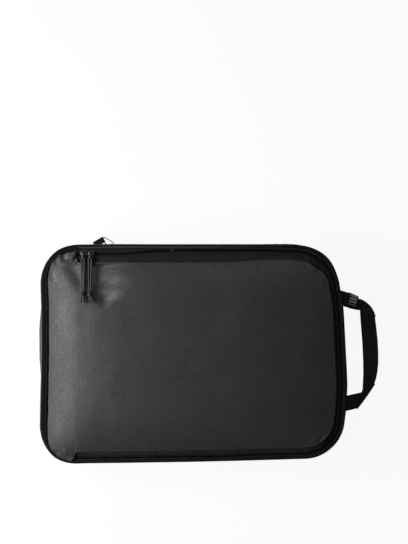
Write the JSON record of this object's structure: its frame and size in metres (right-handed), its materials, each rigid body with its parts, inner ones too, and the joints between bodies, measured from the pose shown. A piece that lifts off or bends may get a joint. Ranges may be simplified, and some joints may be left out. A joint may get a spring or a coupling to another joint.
{
  "type": "packing cube",
  "caption": "Flat rectangular compression packing cube with rounded corners, a three-sided zipped front flap, a compression zip round its waist and a side carry handle.",
  "frame": {"origin": "centre of the back panel's outer face, on which the cube lies", "axes": "+X towards the carry handle, +Y towards the top edge with the zip pulls, +Z out of the front panel"},
  "size_m": [0.3937, 0.2624, 0.058],
  "materials": {
    "ripstop_front": "satin charcoal ripstop nylon",
    "ripstop_wall": "satin charcoal ripstop nylon",
    "expansion_cloth": "dull lining cloth",
    "binding": "matt grosgrain binding tape",
    "zip_tape": "smooth woven zip tape",
    "zip_coil": "spun nylon coil",
    "zip_stop": "moulded stop",
    "slider": "black lacquered die casting",
    "link": "black lacquered wire",
    "pull_cord": "braided cord",
    "pull_tab": "narrow woven webbing",
    "webbing": "flat woven webbing",
    "tag": "satin woven tag",
    "thread": "polyester thread",
    "label": "blank satin label"
  },
  "bodies": {
    "rear_half": {"back_panel": "ripstop_wall", "rear_gusset": "ripstop_wall", "rear_binding": "binding", "compression_tape_rear": "zip_tape", "compression_coil_rear": "zip_coil", "compression_stops_rear": "zip_stop", "expansion_gusset": "expansion_cloth", "care_label": "label", "handle_anchors": "webbing", "handle_bartacks": "thread"},
    "front_half": {"compression_tape_front": "zip_tape", "compression_coil_front": "zip_coil", "compression_stops_front": "zip_stop", "front_gusset": "ripstop_wall", "front_binding": "binding", "front_panel_spine": "ripstop_front", "main_tape_outer": "zip_tape", "main_coil_outer": "zip_coil", "main_tape_start": "zip_tape", "main_coil_start": "zip_coil", "main_zip_stops": "zip_stop", "main_zip_end_tabs": "binding", "tape_bartack": "thread"},
    "flap": {"front_panel_flap": "ripstop_front", "main_tape_flap": "zip_tape", "main_coil_flap": "zip_coil"},
    "left_slider": {"main_slider_left": "slider"},
    "right_slider": {"main_slider_right": "slider"},
    "left_pull": {"pull_link_left": "link", "pull_cord_left_a": "pull_cord", "pull_cord_left_b": "pull_cord", "pull_knot_left": "pull_cord"},
    "right_pull": {"pull_link_right": "link", "pull_cord_right_a": "pull_cord", "pull_cord_right_b": "pull_cord", "pull_knot_right": "pull_cord"},
    "waist_slider": {"compression_slider": "slider"},
    "waist_pull": {"compression_pull_link": "link", "compression_pull_tab": "pull_tab"},
    "handle": {"handle_webbing": "webbing", "handle_size_tag": "tag"}
  },
  "joints": [
    {"name": "expansion", "type": "slide", "parent": "rear_half", "child": "front_half", "axis": [0, 0, 1], "range_m": [0, 0.04], "deforming": ["expansion_gusset"]},
    {"name": "flap_fold", "type": "hinge", "parent": "front_half", "child": "flap", "pos_m": [-0.105, 0, 0.0521], "axis": [0, -1, 0], "range_deg": [0, 140]},
    {"name": "left_slider_run", "type": "slide", "parent": "front_half", "child": "left_slider", "axis": [1, 0, 0], "range_m": [-0.0025, 0]},
    {"name": "right_slider_run", "type": "slide", "parent": "front_half", "child": "right_slider", "axis": [1, 0, 0], "range_m": [0, 0.24]},
    {"name": "left_pull_lift", "type": "hinge", "parent": "left_slider", "child": "left_pull", "pos_m": [-0.1266, 0.116, 0.04815], "axis": [-1, 0, 0], "range_deg": [0, 150]},
    {"name": "right_pull_lift", "type": "hinge", "parent": "right_slider", "child": "right_pull", "pos_m": [-0.1185, 0.116, 0.04815], "axis": [-1, 0, 0], "range_deg": [0, 150]},
    {"name": "compression_slider_run", "type": "slide", "parent": "rear_half", "child": "waist_slider", "axis": [1, 0, 0], "range_m": [0, 0.21]},
    {"name": "compression_pull_swing", "type": "hinge", "parent": "waist_slider", "child": "waist_pull", "pos_m": [-0.0953, 0.127, 0.025], "axis": [0, 0, -1], "range_deg": [0, 120]},
    {"name": "handle_swing", "type": "hinge", "parent": "rear_half", "child": "handle", "pos_m": [0.17975, 0, 0.02005], "axis": [0, -1, 0], "range_deg": [0, 90]}
  ]
}
